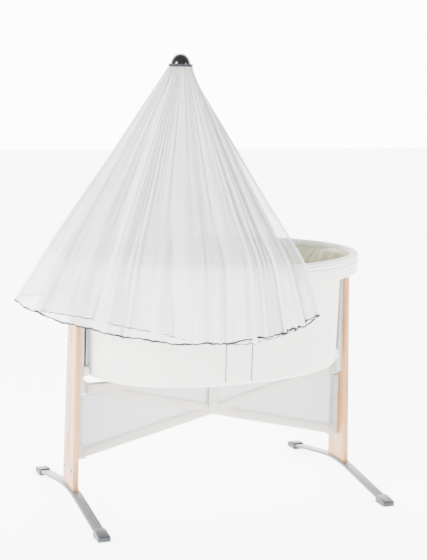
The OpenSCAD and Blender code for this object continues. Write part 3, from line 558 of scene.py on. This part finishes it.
# wall: a taut bag whose profile runs down the side, round the bottom edge and in to the floor's middle
def basketWall():
    around = np.linspace(0, turn, 361)[:-1]
    bend = np.linspace(0, math.pi / 2, 9)
    r = basket["corner"]
    offset = np.concatenate([np.linspace(0, 0, 6), -basket["taper"] * np.linspace(0, 1, 34)[1:],
                             -basket["taper"] - r + r * np.cos(bend)[1:], -np.linspace(0.034, 0.075, 4)])
    height = np.concatenate([np.linspace(basket["top"], basket["skirt"], 6),
                             np.linspace(basket["skirt"], basket["floor"] + r, 34)[1:],
                             basket["floor"] + r - r * np.sin(bend)[1:], np.full(4, basket["floor"])])
    q, z = np.meshgrid(around, height, indexing="ij")
    off = np.broadcast_to(offset, q.shape)
    fall = (basket["skirt"] - z) / (basket["skirt"] - basket["floor"])
    side = smoothStep(fall, -0.05, 0.1) * (1 - smoothStep(fall, 0.97, 1.0))
    pucker = waves(q, ((71, 0.5), (113, 0.4), (167, 0.3)), 3) * 0.0006 * np.exp(-8 * np.clip(fall, 0, 1))
    foot = waves(q, ((47, 0.5), (89, 0.4)), 4) * 0.0005 * np.exp(-9 * np.clip(1 - fall, 0, 1))
    drape = waves(q + fall * 0.25, ((5, 0.5), (11, 0.5), (17, 0.3)), 5) * 0.0009 * side
    x, y = ovalPoint(basket["a"], basket["b"], q, off + pucker + foot + drape)
    points = np.stack([x, y, z - sag(x) * smoothStep(fall, 0.2, 1.0)], -1)
    centre = np.zeros((len(around), 6, 3))
    share = np.linspace(0.75, 0, 6)[None, :, None]
    centre[:] = points[:, -1:, :] * share
    centre[..., 2] = basket["floor"] - sag(centre[..., 0])
    wall = gridPiece("basketWall", np.concatenate([points, centre], 1), "canvas", "basket",
                     ("basket_wall",), closeRows=True)
    tidyMesh(wall)
    thicken(wall, basket["cloth"])
    applyAll(wall)
    # corded seam round the bottom edge
    q = np.linspace(0, turn, 361)[:-1]
    x, y = ovalPoint(basket["a"], basket["b"], q, -basket["taper"] - r * 0.42)
    tube("bottomPiping", np.stack([x, y, basket["floor"] + 0.0025 - sag(x)], -1), 0.0011, "canvas", "basket",
         closed=True)


# a round cord along a list of points: circles square to the path, never twisting past the upright
def tube(name, path, radius, finish, body, replaced=(), closed=False, sides=8, flat=1.0):
    along = np.roll(path, -1, 0) - np.roll(path, 1, 0)
    if not closed:
        along[0], along[-1] = path[1] - path[0], path[-1] - path[-2]
    along = along / np.linalg.norm(along, axis=1)[:, None]
    guide = np.where(np.abs(along[:, 2:]) > 0.9, [[1.0, 0, 0]], [[0, 0, 1.0]])
    side = np.cross(along, guide)
    side = side / np.linalg.norm(side, axis=1)[:, None]
    up = np.cross(side, along)
    q = np.arange(sides) * turn / sides
    radius = np.broadcast_to(np.asarray(radius, float), (len(path),))[:, None, None]
    points = path[:, None] + radius * (side[:, None] * np.cos(q)[None, :, None] * flat
                                       + up[:, None] * np.sin(q)[None, :, None])
    piece = gridPiece(name, points, finish, body, replaced, closeRows=closed, closeCols=True)
    if not closed:
        work = bmesh.new()
        work.from_mesh(piece.data)
        bmesh.ops.holes_fill(work, edges=work.edges)
        work.to_mesh(piece.data)
        work.free()
    return tidyMesh(piece)


# roll: a padded tube round the rim with two sewn grooves and small puckers beside them
roll = {"grooves": (12.0, -62.0), "depth": 0.0016, "spread": 9.0, "puckers": 0.00045}


def rimRoll():
    around = np.linspace(0, turn, 541)[:-1]
    section = np.linspace(0, turn, 49)[:-1]
    q, s = np.meshgrid(around, section, indexing="ij")
    radius = basket["roll"] + waves(q, ((9, 0.4), (23, 0.4), (61, 0.25)), 11) * 0.0004
    for k, place in enumerate(roll["grooves"]):
        gap = np.abs((np.degrees(s) - place + 180) % 360 - 180)
        radius = radius - roll["depth"] * np.exp(-(gap / roll["spread"]) ** 2)
        beside = np.exp(-((gap - 16) / 11) ** 2)
        radius = radius + beside * waves(q, ((157, 0.5), (211, 0.4), (97, 0.4)), 21 + k) * roll["puckers"]
    x, y = ovalPoint(basket["rimA"], basket["rimB"], q, radius * np.cos(s))
    points = np.stack([x, y, basket["rimZ"] + radius * np.sin(s)], -1)
    made = gridPiece("rimRoll", points, "roll", "basket", ("rim_roll",),
                     closeRows=True, closeCols=True)
    tidyMesh(made)
    # thread in each groove
    for k, place in enumerate(roll["grooves"]):
        reach = basket["roll"] - roll["depth"] + 0.0001
        a = math.radians(place)
        x, y = ovalPoint(basket["rimA"], basket["rimB"], around, reach * math.cos(a))
        z = np.full_like(around, basket["rimZ"] + reach * math.sin(a))
        tube(f"rollSeam{k + 1}", np.stack([x, y, z], -1), 0.0005, "liner", "basket",
             closed=True, sides=6)


# skirt: a band that hangs from the roll, with a turned hem and slack waves towards its lower edge
def rimSkirt():
    around = np.linspace(0, turn, 541)[:-1]
    down = np.linspace(0, 1, 16)
    q, t = np.meshgrid(around, down, indexing="ij")
    offset = 0.0095 - 0.0022 * t + waves(q, ((13, 0.4), (29, 0.4), (53, 0.3), (83, 0.2)), 31) * 0.0011 * t
    offset = offset + 0.0007 * np.exp(-((t - 0.80) / 0.05) ** 2) * waves(q, ((179, 0.5), (131, 0.4)), 32)
    x, y = ovalPoint(basket["rimA"], basket["rimB"], q, offset)
    points = np.stack([x, y, 0.6285 - t * 0.0325 + waves(q, ((7, 0.5), (19, 0.4)), 33) * 0.0006 * t], -1)
    made = gridPiece("rimSkirt", points, "canvas", "basket", ("rim_skirt",), closeRows=True)
    thicken(made, 0.0014)
    applyAll(made)
    for k, drop in enumerate((0.5995, 0.6235)):
        x, y = ovalPoint(basket["rimA"], basket["rimB"], around, 0.0081 + 0.0016 * (k == 1) + 0.0006)
        tube(f"skirtSeam{k + 1}", np.stack([x, y, np.full_like(around, drop)], -1), 0.0005, "liner", "basket",
             closed=True, sides=6)


# liner: flange under the roll, then down the inside with slanting drag folds between its tacks
def innerLiner():
    around = np.linspace(0, turn, 541)[:-1]
    profile = np.array([[0.000, 0.6362], [-0.006, 0.6350], [-0.009, 0.6315], [-0.0112, 0.622],
                        [-0.0118, 0.610], [-0.012, 0.596], [-0.0155, 0.376]])
    length = np.concatenate([[0], np.cumsum(np.linalg.norm(np.diff(profile, axis=0), axis=1))])
    at = np.concatenate([np.linspace(0, length[-2], 24), np.linspace(length[-2], length[-1], 46)[1:]])
    offset, z = np.interp(at, length, profile[:, 0]), np.interp(at, length, profile[:, 1])
    q = np.meshgrid(around, at, indexing="ij")[0]
    fall = np.clip((0.632 - z) / 0.25, 0, 1)[None, :] * np.ones_like(q)
    hold = smoothStep(fall, 0.0, 0.12) * (1 - 0.6 * smoothStep(fall, 0.6, 1.0))
    drag = waves(q + fall * 0.9, ((17, 0.5), (31, 0.45), (43, 0.3)), 41) * 0.0022
    cross = waves(q - fall * 1.3, ((23, 0.4), (37, 0.35)), 42) * 0.0014
    gather = waves(q, ((89, 0.5), (127, 0.4), (71, 0.4)), 43) * 0.0010 * np.exp(-10 * fall)
    bulge = (drag + cross) * hold + gather * smoothStep(fall, 0.0, 0.05)
    x, y = ovalPoint(basket["a"], basket["b"], q, offset[None, :] - np.abs(bulge) * 1.4)
    points = np.stack([x, y, np.broadcast_to(z, q.shape)], -1)
    # flange: from the lining's top edge straight out under the roll
    far = ovalPoint(basket["rimA"], basket["rimB"], around, -basket["roll"] + 0.0012)
    share = np.linspace(1, 0, 9)[:-1][None, :, None]
    flange = points[:, :1] * (1 - share) + np.stack([*far, np.full_like(around, 0.6366)], -1)[:, None] * share
    ripple = 0.0012 * np.sin(math.pi * share[..., 0])
    flange[..., 2] += ripple * waves(around, ((61, 0.5), (97, 0.5)), 44)[:, None]
    points = np.concatenate([flange, points], 1)
    # away from the hangers the lining leaves the roll at a slant instead
    last = 8 + int(np.argmin(np.abs(z - basket["skirt"])))
    top = points[:, :last + 1]
    run = np.linspace(0, 1, last + 1)[None, :, None]
    slant = (top[:, :1] - [0, 0, 0.006]) * (1 - run) + top[:, -1:] * run
    slant[..., 2] += 0.006 * np.sin(math.pi * run[..., 0])
    free = smoothStep(np.abs(np.sin(around)), 0.09, 0.30)[:, None, None]
    fine = waves(around, ((89, 0.5), (127, 0.4), (71, 0.4)), 45)[:, None]
    fine = fine * 0.0012 * np.sin(math.pi * run[..., 0])
    slant[..., 2] += fine
    points[:, :last + 1] = top * (1 - free) + slant * free
    made = gridPiece("basketLiner", points, "liner", "basket", ("basket_liner",),
                     closeRows=True)
    thicken(made, 0.0016, 1.0)
    applyAll(made)


# mattress: an oval pad with rounded edges, slightly swollen sides and quilting dimples
pad = {"a": 0.3490, "b": 0.2520, "inset": 0.0372, "low": 0.3564, "high": 0.3984, "edge": 0.014}


def padShape(name, a, b, low, high, edge, finish, replaced, quilt):
    around = np.linspace(0, turn, 241)[:-1]
    bend = np.linspace(0, math.pi / 2, 7)
    inset = np.concatenate([edge * (1 - np.sin(bend)), np.zeros(6), edge * (1 - np.cos(bend))])
    height = np.concatenate([low + edge * (1 - np.cos(bend)), np.linspace(low + edge, high - edge, 8)[1:-1],
                             high - edge + edge * np.sin(bend)])
    q = around[:, None] * np.ones(len(inset))
    swell = 0.0012 * np.sin(math.pi * (height - low) / (high - low))
    x, y = ovalPoint(a, b, q, -pad["inset"] - inset[None, :] + swell[None, :])
    rim = np.stack([x, y, np.broadcast_to(height, q.shape)], -1)
    share = np.linspace(1, 0, 34)[1:]
    top = rim[:, -1:, :] * share[None, :, None]
    stitch = 0.052
    tufts = np.cos(top[..., 0] * turn / stitch), np.cos(top[..., 1] * turn / stitch)
    top[..., 2] = high - quilt * (0.5 - 0.5 * tufts[0] * tufts[1])
    floor = rim[:, :1, :] * share[::-1][None, :, None]
    floor[..., 2] = low
    piece = gridPiece(name, np.concatenate([floor, rim, top], 1), finish, "basket", replaced,
                      closeRows=True)
    return tidyMesh(piece)


def bedding():
    mattress = padShape("mattressPad", pad["a"], pad["b"], pad["low"], pad["high"] - 0.0012, pad["edge"],
                        "ticking",
                        ("mattress",), 0.0012)
    # sheet: drawn over the top and down the sides, with slack folds near the ends
    around = np.linspace(0, turn, 361)[:-1]
    bend = np.linspace(0, math.pi / 2, 7)
    edge = pad["edge"]
    inset = np.concatenate([np.zeros(6), edge * (1 - np.cos(bend))])
    height = np.concatenate([np.linspace(0.3690, pad["high"] - edge, 7)[:-1],
                             pad["high"] - edge + edge * np.sin(bend)])
    q = around[:, None] * np.ones(len(inset))
    tuck = waves(q, ((33, 0.5), (57, 0.4), (81, 0.3)), 51) * 0.0006
    tuck = tuck * np.clip((0.385 - height) / 0.016, 0, 1)[None, :]
    x, y = ovalPoint(pad["a"], pad["b"], q, 0.0020 + tuck - pad["inset"] - inset[None, :])
    rim = np.stack([x, y, np.broadcast_to(height + 0.0008, q.shape)], -1)
    share = np.linspace(1, 0, 60)[1:]
    top = rim[:, -1:, :] * share[None, :, None]
    slack = np.cos(top[..., 0] * 21 + 1.5 * np.sin(top[..., 1] * 9)) * np.cos(top[..., 1] * 7)
    top[..., 2] = pad["high"] - 0.0002 + 0.0012 * np.abs(slack) * (1 - share[None, :] ** 6)
    made = gridPiece("fittedSheet", np.concatenate([rim, top], 1), "sheet", "basket",
                     ("mattress_sheet",), closeRows=True)
    tidyMesh(made)
    thicken(made, 0.0006, 1.0)
    applyAll(made)


# two corded seams down the front of the wall, and the plain strip between them
strip = {"middle": -0.031, "half": 0.034, "radius": 0.0010}


def frontStrip():
    for k, s in enumerate((-1, 1)):
        x = strip["middle"] + s * strip["half"]
        z = np.concatenate([np.linspace(0.597, 0.364, 60), np.linspace(0.362, 0.3515, 8)])
        fall = np.clip((basket["skirt"] - z) / (basket["skirt"] - basket["floor"] - basket["corner"]), 0, 1)
        inset = basket["taper"] * fall + 0.009 * np.clip((0.362 - z) / 0.012, 0, 1) ** 2
        b = basket["b"] - inset + 0.0006
        y = -b * np.sqrt(1 - (x / (basket["a"] - inset)) ** 2)
        path = np.stack([np.full_like(z, x), y, z], -1)
        tube(f"frontSeam{k + 1}", path, strip["radius"], "piping", "basket",
             ("front_strip",) if k == 0 else ())


basketWall()
rimRoll()
rimSkirt()
innerLiner()
bedding()
frontStrip()
print("basket made")


# ---- canopy ----

# stations round the collar: angle, then shoulder and hem points in millimetres
canopy = {
    "stations": [
        (-20, 124, -279, 646, 164, -278, 520), (-40, 62, -293, 653, 102, -297, 497),
        (-60, -15, -300, 655, 0, -306, 480), (-82, -118, -292, 655, -120, -302, 472),
        (-105, -228, -254, 655, -248, -276, 478), (-130, -330, -180, 652, -378, -206, 497),
        (-155, -405, -80, 652, -472, -98, 515), (-182, -432, 30, 652, -512, 20, 528),
        (-208, -405, 142, 652, -482, 148, 520), (-234, -312, 250, 652, -366, 272, 504),
        (-256, -172, 325, 652, -196, 345, 494), (-276, -20, 352, 652, -22, 366, 490),
        (-298, 120, 330, 652, 134, 344, 494)],
    "ringY": 0.272, "ringZ": 1.119, "ringR": 0.0335, "shoulder": 0.80,
    "folds": 46, "fine": 0.0018, "broad": 0.0125,
}


# point at u along the stations and v down the cloth: straight from the collar to the shoulder,
# then to the hem
def canopyBase(u, v):
    rows = np.array(canopy["stations"], float)
    s = throughRows(rows, u * (len(rows) - 1))
    angle = np.radians(s[:, 0])
    top = np.stack([canopy["ringR"] * np.cos(angle), canopy["ringY"] + canopy["ringR"] * np.sin(angle),
                    np.full_like(angle, canopy["ringZ"])], -1)[:, None]
    shoulder, hem = s[:, None, 1:4] / 1000, s[:, None, 4:7] / 1000
    right = np.maximum(1 - smoothStep(u, 0.0, 0.22), smoothStep(u, 0.86, 1.0))[:, None]

    def place(w):
        w = np.clip(w, 0, 1)
        high = np.clip(w / canopy["shoulder"], 0, 1)
        drop = 0.055 * right
        out = np.where(high < drop, 0.12 * high, (high - 0.88 * drop) / (1 - 0.88 * drop))
        flare = (high * (1 - right) + out * right)[..., None]
        level = high[..., None]
        upper = np.concatenate([top[..., :2] + (shoulder - top)[..., :2] * flare,
                                top[..., 2:] + (shoulder - top)[..., 2:] * level], -1)
        low = np.clip((w - canopy["shoulder"]) / (1 - canopy["shoulder"]), 0, 1)[..., None]
        return np.where(low > 0, shoulder + (hem - shoulder) * low, upper)
    grid = np.broadcast_to(v[None, :], (len(u), len(v)))
    blur = 0.035 * smoothStep(grid, 0.0, 0.05) * (1 - smoothStep(grid, 0.96, 1.0))
    return (place(grid) * 2 + place(grid - blur) + place(grid + blur)) / 4


# uneven folds: fine pleats at the collar that run together into broad ones at the hem
def foldHeight(u, v, seed):
    draw = np.random.default_rng(seed)
    warp = u + sum(0.017 * math.sin(i) * np.sin(turn * i * u + draw.uniform(0, turn)) for i in range(2, 9))
    theta = turn * canopy["folds"] * warp
    fine = 0.6 * np.cos(theta) + 0.4 * np.cos(1.73 * theta + 1.0)
    broad = sum(h * np.cos(turn * k * warp + draw.uniform(0, turn)) for k, h in
                ((7, 0.35), (13, 0.45), (21, 0.35), (34, 0.25)))
    ridge = 1 - np.abs(np.cos(turn * 9.5 * warp + 0.7)) * 1.6
    mixed = fine[:, None] * (1 - v)[None, :] ** 1.5 * canopy["fine"]
    wide = (broad * 0.8 + ridge * 0.35)[:, None] * canopy["broad"]
    mixed = mixed + wide * smoothStep(v, 0.02, 0.9)[None, :]
    sway = 0.0022 * np.sin(turn * (u[:, None] * 11 + v[None, :] * 1.3)) * smoothStep(v, 0.2, 0.8)[None, :]
    mixed = mixed + sway + (fine[:, None] * 0.0012) * smoothStep(v, 0.0, 0.3)[None, :]
    return mixed


def canopyLayer(name, uLow, uHigh, inset, hemShift, seed, cover, columns, replaced=()):
    u = np.linspace(uLow, uHigh, columns)
    v = np.concatenate([np.linspace(0, 0.08, 14)[:-1], np.linspace(0.08, 1, 92)])
    base = canopyBase(u, v)
    du = np.gradient(base, axis=0)
    dv = np.gradient(base, axis=1)
    out = np.cross(du, dv)
    out = out / np.maximum(np.linalg.norm(out, axis=2), 1e-9)[..., None]
    middle = np.array([0, canopy["ringY"], 0.9])
    away = np.sign(((base - middle) * out)[..., :2].sum(-1, keepdims=True))
    out = out * np.where(away == 0, 1, away)
    height = foldHeight(u, v, seed)
    near = smoothStep(v, 0.55, 0.78)[None, :]
    push = height * (1 - near) + (np.abs(height) * 0.9 + height * 0.25) * near
    points = base + out * (push - inset * smoothStep(v, 0.0, 0.25)[None, :])[..., None]
    points[..., 2] += hemShift(u)[:, None] * smoothStep(v, 0.8, 1.0)[None, :]
    slope = np.abs(np.gradient(height, axis=0)) / np.maximum(np.linalg.norm(du, axis=2), 1e-6)
    dense = cover[0] + (cover[1] - cover[0]) * (v[None, :] ** 0.6) + 0.12 * np.clip(slope * 1.2, 0, 1)
    dense = dense + 0.05 * np.cos(turn * 23 * u + 1)[:, None] * smoothStep(v, 0.1, 0.5)[None, :]
    dense = dense - 0.30 * (1 - smoothStep(u, 0.035, 0.085))[:, None] * smoothStep(v, 0.25, 0.5)[None, :]
    # painted shade in the folds: larger where the cloth lies low in a fold and where the fold side is steep,
    # used to darken the tulle's colour
    lows = np.clip(-height / (canopy["broad"] * 0.9), 0, 1) * smoothStep(v, 0.03, 0.5)[None, :]
    crease = 0.55 * lows ** 1.3 + 0.35 * np.clip(slope - 0.25, 0, 1)
    piece = gridPiece(name, points, "tulle", "canopy", replaced, 
                      marks={"cover": np.clip(dense, 0.05, 1), "crease": np.clip(crease, 0, 1)})
    area = float(sum(p.area for p in piece.data.polygons))
    widest = float(np.linalg.norm(np.diff(points[:, -1], axis=0), axis=1).sum())
    longest = float(np.linalg.norm(np.diff(points, axis=1), axis=2).sum(1).max())
    return piece, points, area, (widest, longest)


# binding: a flat cord along the hem that lifts and doubles where the hem is ruffled
def hemBinding(name, rim, replaced=(), ruffles=(), radius=0.0020):
    count = len(rim)
    s = np.linspace(0, 1, count)
    lift = 0.0008 * np.sin(turn * 31 * s) + 0.0006 * np.sin(turn * 77 * s + 1)
    thick = radius * (1 + 0.22 * np.sin(turn * 23 * s + 2))
    for low, high, amount in ruffles:
        here = smoothStep(s, low, low + 0.01) * (1 - smoothStep(s, high - 0.01, high))
        thick = thick + here * amount * (1 + 0.5 * np.sin(turn * 90 * s))
        lift = lift + here * 0.0022 * np.sin(turn * 64 * s)
    path = rim + np.stack([np.zeros(count), np.zeros(count), lift - 0.0006], -1)
    return tube(name, path, thick, "binding", "canopy", replaced, sides=8, flat=0.75)


def makeCanopy():
    def outerShift(u):
        return 0.0015 * np.sin(turn * 12 * u)

    def innerShift(u):
        return np.interp(u, [0.02, 0.12, 0.20, 0.27, 0.34, 0.44, 0.52],
                         [0.004, -0.008, -0.010, 0.004, 0.022, 0.026, 0.010])
    outer, points, area, flat = canopyLayer("tulleOuter", 0, 1, 0.0, outerShift, 61, (0.92, 0.74), 900,
                                            ("canopy_cloth",))
    inner, innerPoints, innerArea, innerFlat = canopyLayer(
        "tulleInner", 0.050, 0.52, 0.0045, innerShift, 62, (0.74, 0.70), 460)
    band = hemBinding("hemBinding", points[:, -1], ("canopy_hem",),
                      ((0.075, 0.135, 0.0011), (0.165, 0.185, 0.0009)))
    innerBand = hemBinding("innerHemBinding", innerPoints[:, -1], (), (), 0.0010)
    count = 66
    lift = 0.014 * np.linspace(0, 1, count) ** 0.7
    fold = points[:count, -1] + np.stack([np.zeros(count), np.full(count, -0.003), lift], -1)
    edge = hemBinding("foldedHem", fold, (), (), 0.0013)
    print("tulle", round(area, 3), "m2 flat", [round(x, 3) for x in flat], "inner", round(innerArea, 3),
          [round(x, 3) for x in innerFlat])


# dome: a bullet-shaped cap with a rolled lip
def makeDome():
    radius, rise, base = 0.0280, 0.0300, 1.1262
    s = np.linspace(0, math.pi / 2, 40)
    r = np.concatenate([[0.0, 0.0262, 0.0276], radius * np.cos(s) ** 0.92])
    z = np.concatenate([[0.0, 0.0, 0.0004], 0.0012 + (rise - 0.0014) * np.sin(s) ** 1.15])
    q = np.linspace(0, turn, 97)[:-1]
    points = np.stack([r[None, :] * np.cos(q)[:, None], canopy["ringY"] + r[None, :] * np.sin(q)[:, None],
                       base - 0.0001 + np.broadcast_to(z, (len(q), len(z)))], -1)
    made = gridPiece("canopyDome", points, "dome", "canopy", ("canopy_dome",), closeRows=True)
    tidyMesh(made)


# ruffle: a ribbon round the collar whose free edges wander up and down
def makeRuffle():
    q = np.linspace(0, turn, 481)[:-1]
    t = np.linspace(-1, 1, 9)
    angle, across = np.meshgrid(q, t, indexing="ij")
    wave = waves(angle, ((17, 0.5), (29, 0.5), (43, 0.35)), 71)
    r = 0.0325 + 0.0022 * wave * (0.4 + 0.6 * across**2) + 0.0012 * across
    z = 1.1232 + 0.0034 * across * (1 + 0.25 * waves(angle, ((23, 0.6), (37, 0.4)), 72)) + 0.0010 * wave
    points = np.stack([r * np.cos(angle), canopy["ringY"] + r * np.sin(angle), z], -1)
    made = gridPiece("collarRuffle", points, "binding", "canopy", ("canopy_collar",),
                     closeRows=True)
    thicken(made, 0.0008, 0)
    applyAll(made)


makeCanopy()
makeDome()
makeRuffle()
print("canopy made")


# ---- camera, lights and floor ----

look = {"eye": (-1.3121, -3.1298, 1.1522), "yaw": 22.72, "pitch": 9.73, "roll": 1.30, "lens": 84.2}


def makeCamera():
    yaw, pitch, roll_ = (math.radians(look[k]) for k in ("yaw", "pitch", "roll"))
    forward = Vector((math.sin(yaw) * math.cos(pitch), math.cos(yaw) * math.cos(pitch), -math.sin(pitch)))
    side = Vector((math.cos(yaw), -math.sin(yaw), 0))
    up = side.cross(forward)
    right = side * math.cos(roll_) + up * math.sin(roll_)
    top = up * math.cos(roll_) - side * math.sin(roll_)
    camera = bpy.data.objects.new("camera", bpy.data.cameras.new("camera"))
    aim = Matrix((right, top, -forward)).transposed().to_4x4()
    camera.matrix_world = Matrix.Translation(look["eye"]) @ aim
    camera.data.lens, camera.data.sensor_width = look["lens"], 36
    bpy.context.scene.collection.objects.link(camera)
    bpy.context.scene.camera = camera


lights = [  # name, place, size, watts, tone
    ("key", (-3.4, -0.9, 1.9), 1.4, 300, (1.0, 0.995, 0.985)),
    ("fill", (2.6, -2.6, 1.2), 1.2, 100, (1.0, 1.0, 1.0)),
]
studio = {"backdrop": 13.0, "room": 0.9, "towards": (0.39, 0.92, 0.0), "tableGlow": 5.6}


def makeLights():
    for name, place, size, watts, tone in lights:
        data = bpy.data.lights.new(name, "AREA")
        data.shape, data.size, data.energy, data.color = "DISK", size, watts, tone
        lamp = bpy.data.objects.new(name, data)
        lamp.location = place
        lamp.rotation_mode = "QUATERNION"
        lamp.rotation_quaternion = (Vector((0, 0, 0.5)) - Vector(place)).to_track_quat("-Z", "Y")
        bpy.context.scene.collection.objects.link(lamp)
    # room light everywhere, with a brighter wall behind the bassinet
    world = bpy.data.worlds.new("studio")
    world.use_nodes = True
    root = Value(world.node_tree, None)
    facing = root.node("ShaderNodeTexCoord", out=0)
    towards = root.node("ShaderNodeVectorMath", {"operation": "DOT_PRODUCT"}, {
        0: facing, 1: studio["towards"]}, 1)
    bright = root.node("ShaderNodeMapRange", {"interpolation_type": "SMOOTHSTEP"}, {
        "Value": towards, 1: 0.2, 2: 0.8, 3: studio["room"], 4: studio["backdrop"]})
    sky = world.node_tree.nodes["Background"]
    sky.inputs["Color"].default_value = (1, 1, 1, 1)
    world.node_tree.links.new(bright.socket, sky.inputs["Strength"])
    bpy.context.scene.world = world


def makeFloor():
    half, level = 12.0, -0.0005
    data = bpy.data.meshes.new("floor")
    corners = [(-half, -half, level), (half, -half, level), (half, half, level), (-half, half, level)]
    data.from_pydata(corners, [], [(0, 1, 2, 3)])
    floor = bpy.data.objects.new("floor", data)
    paint = Finish("lightTable", (0.85, 0.85, 0.85), 0.9, Emission_Strength=studio["tableGlow"])
    paint.shader.inputs["Emission Color"].default_value = (1, 1, 1, 1)
    floor.data.materials.append(paint.material)
    bpy.context.scene.collection.objects.link(floor)


makeCamera()
makeLights()
makeFloor()
